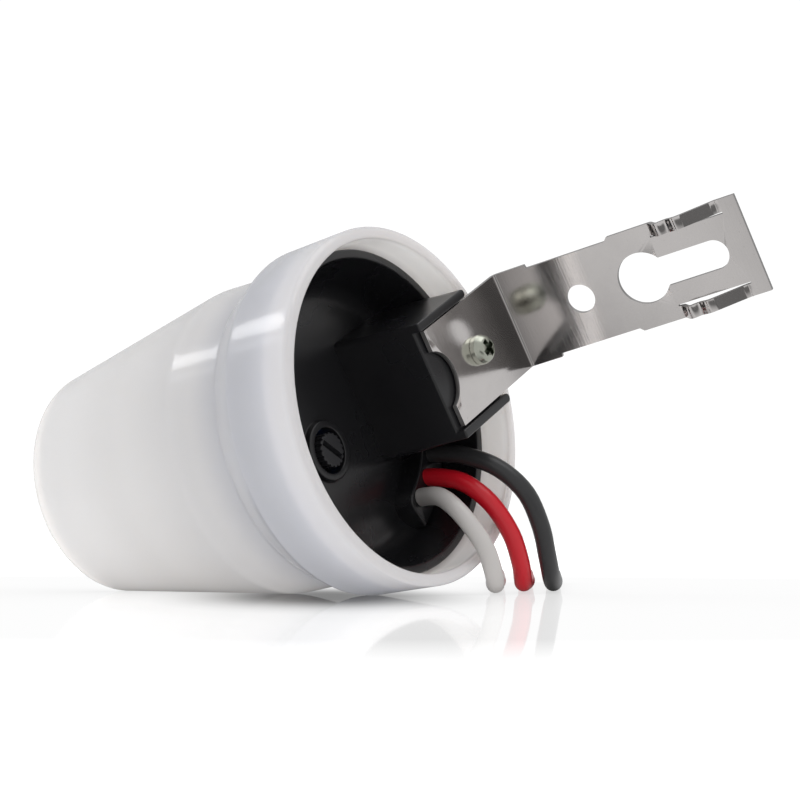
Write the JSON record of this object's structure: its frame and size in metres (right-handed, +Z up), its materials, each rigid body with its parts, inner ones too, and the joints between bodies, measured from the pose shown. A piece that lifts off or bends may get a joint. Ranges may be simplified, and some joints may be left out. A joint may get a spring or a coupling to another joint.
{
  "type": "photocell switch",
  "caption": "Round light-sensing switch with a translucent cap, recessed black base, folded keyhole bracket, slotted sensitivity adjuster and flying leads.",
  "frame": {"origin": "centre of the footprint at the surface the switch lies on, measured without the leads", "axes": "+Z up; the cap's axis lies in the XZ plane with the mouth towards +X, raised about ten degrees by the cap's taper; the bracket's strap is on the +Y side"},
  "size_m": [0.0992, 0.1363, 0.0573],
  "materials": {
    "cap_milky": "milky, translucent, glossy",
    "base_black": "smooth moulded, semi-gloss",
    "zinc_sheet": "bright zinc plate",
    "nickel_screw": "bright plated",
    "trimmer_blue": "moulded",
    "rotor_black": "moulded",
    "board_green": "solder resist",
    "steel_small": "plated",
    "relay_blue": "moulded",
    "film_red": "dipped",
    "sleeve_dark": "shrink sleeve",
    "part_black": "moulded",
    "part_beige": "lacquered",
    "sensor": "clear coated",
    "insulation_black": "smooth insulation",
    "insulation_red": "smooth insulation",
    "insulation_white": "smooth insulation",
    "tinned_copper": "tinned strands"
  },
  "bodies": {
    "housing": {"cap": "cap_milky", "base": "base_black", "bracket": "zinc_sheet", "bracket_screw": "nickel_screw", "trimmer_body": "trimmer_blue", "circuit_board": "board_green", "board_screw_1": "steel_small", "board_screw_2": "steel_small", "relay": "relay_blue", "film_capacitor": "film_red", "electrolytic_capacitor": "sleeve_dark", "diode_1": "part_black", "diode_2": "part_black", "diode_3": "part_black", "diode_4": "part_black", "resistor_1": "part_beige", "resistor_2": "part_beige", "resistor_3": "part_beige", "transistor": "part_black", "photoresistor": "sensor", "lead_black": "insulation_black", "lead_red": "insulation_red", "lead_white": "insulation_white", "conductor_black": "tinned_copper", "conductor_red": "tinned_copper", "conductor_white": "tinned_copper"},
    "adjuster": {"trimmer_rotor": "rotor_black"}
  },
  "joints": [
    {"name": "adjuster_turn", "type": "hinge", "parent": "housing", "child": "adjuster", "pos_m": [0.00087, -0.00908, 0.02068], "axis": [0.9838, 0, 0.1791], "range_deg": [-120, 120]}
  ]
}
